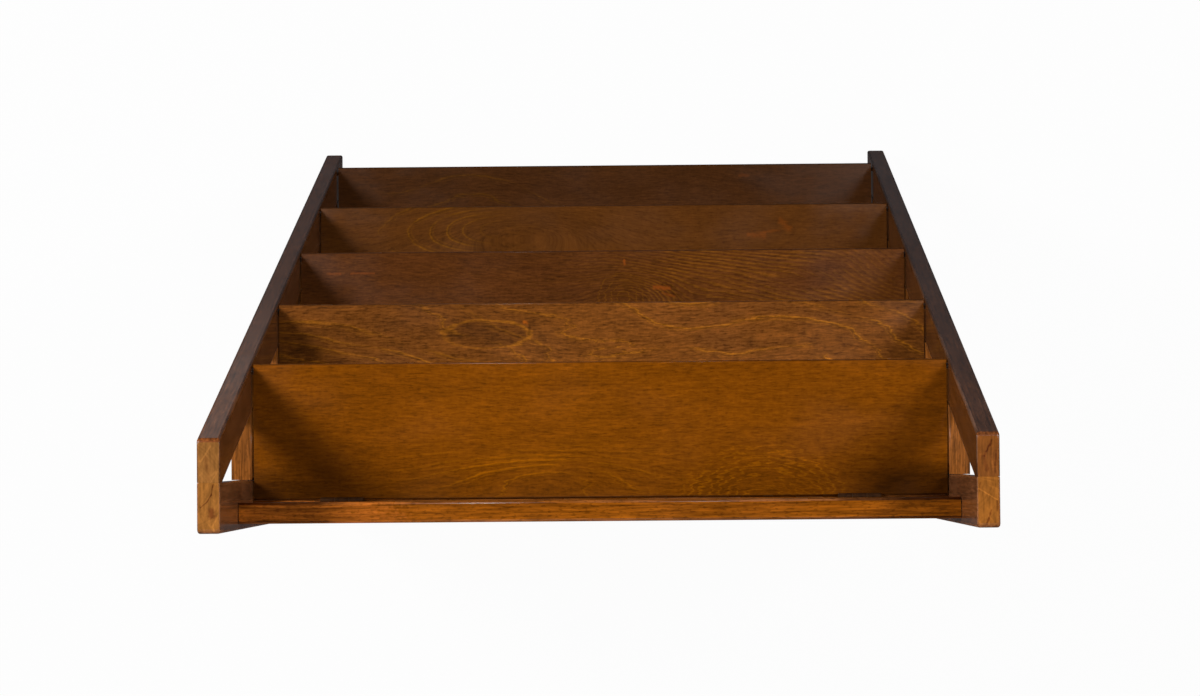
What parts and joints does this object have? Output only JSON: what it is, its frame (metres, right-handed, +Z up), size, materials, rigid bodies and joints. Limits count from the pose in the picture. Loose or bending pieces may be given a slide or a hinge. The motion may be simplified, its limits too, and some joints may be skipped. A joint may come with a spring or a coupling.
{
  "type": "folding ladder bookcase",
  "caption": "Folding wooden bookcase with raked front posts and flip-up shelves that get deeper towards the floor.",
  "frame": {"origin": "on the floor, in the middle of the footprint", "axes": "+Z up, front towards -Y, +X to the right for someone who faces the front"},
  "size_m": [0.864, 0.549, 1.702],
  "materials": {
    "post_wood": "dark brown stain under satin lacquer, golden end grain at the tops",
    "rung_wood": "medium brown stain under satin lacquer",
    "rail_wood": "warm brown stain under glossy lacquer, grain along the board",
    "shelf_veneer": "figured veneer, warm brown stain under satin lacquer",
    "dowel_wood": "bare beech",
    "hinge_metal": "antique bronze plating",
    "steel": "zinc-plated steel"
  },
  "bodies": {
    "frame": {"back_post_left": "post_wood", "back_post_right": "post_wood", "front_post_left": "post_wood", "front_post_right": "post_wood", "rung_left_1": "rung_wood", "rung_left_2": "rung_wood", "rung_left_3": "rung_wood", "rung_left_4": "rung_wood", "rung_left_5": "rung_wood", "rung_right_1": "rung_wood", "rung_right_2": "rung_wood", "rung_right_3": "rung_wood", "rung_right_4": "rung_wood", "rung_right_5": "rung_wood", "top_rail": "rail_wood", "slat_1": "rail_wood", "slat_2": "rail_wood", "slat_3": "rail_wood", "slat_4": "rail_wood", "slat_5": "rail_wood", "slat_leaves": "hinge_metal", "slat_leaf_screws": "steel", "shelf_hinge_pins": "steel", "frame_hinge_post_leaves": "hinge_metal", "frame_hinge_rung_leaves": "hinge_metal", "frame_hinge_pins": "steel", "frame_hinge_screws": "steel", "shelf_rest_pins": "steel", "joint_dowels": "dowel_wood"},
    "shelf_1": {"shelf_1": "shelf_veneer", "shelf_leaves_1": "hinge_metal", "shelf_screws_1": "steel"},
    "shelf_2": {"shelf_2": "shelf_veneer", "shelf_leaves_2": "hinge_metal", "shelf_screws_2": "steel"},
    "shelf_3": {"shelf_3": "shelf_veneer", "shelf_leaves_3": "hinge_metal", "shelf_screws_3": "steel"},
    "shelf_4": {"shelf_4": "shelf_veneer", "shelf_leaves_4": "hinge_metal", "shelf_screws_4": "steel"},
    "shelf_5": {"shelf_5": "shelf_veneer", "shelf_leaves_5": "hinge_metal", "shelf_screws_5": "steel"}
  },
  "joints": [
    {"name": "shelf_1_flip", "type": "hinge", "parent": "frame", "child": "shelf_1", "pos_m": [0, 0.243, 1.3683], "axis": [-1, 0, 0], "range_deg": [0, 90]},
    {"name": "shelf_2_flip", "type": "hinge", "parent": "frame", "child": "shelf_2", "pos_m": [0, 0.243, 1.0533], "axis": [-1, 0, 0], "range_deg": [0, 84]},
    {"name": "shelf_3_flip", "type": "hinge", "parent": "frame", "child": "shelf_3", "pos_m": [0, 0.243, 0.7383], "axis": [-1, 0, 0], "range_deg": [0, 84]},
    {"name": "shelf_4_flip", "type": "hinge", "parent": "frame", "child": "shelf_4", "pos_m": [0, 0.243, 0.4233], "axis": [-1, 0, 0], "range_deg": [0, 84]},
    {"name": "shelf_5_flip", "type": "hinge", "parent": "frame", "child": "shelf_5", "pos_m": [0, 0.243, 0.1083], "axis": [-1, 0, 0], "range_deg": [0, 84]}
  ],
  "couplings": [
    {"joint": "shelf_2_flip", "follows": "shelf_5_flip", "ratio": 1},
    {"joint": "shelf_3_flip", "follows": "shelf_5_flip", "ratio": 1},
    {"joint": "shelf_4_flip", "follows": "shelf_5_flip", "ratio": 1}
  ]
}
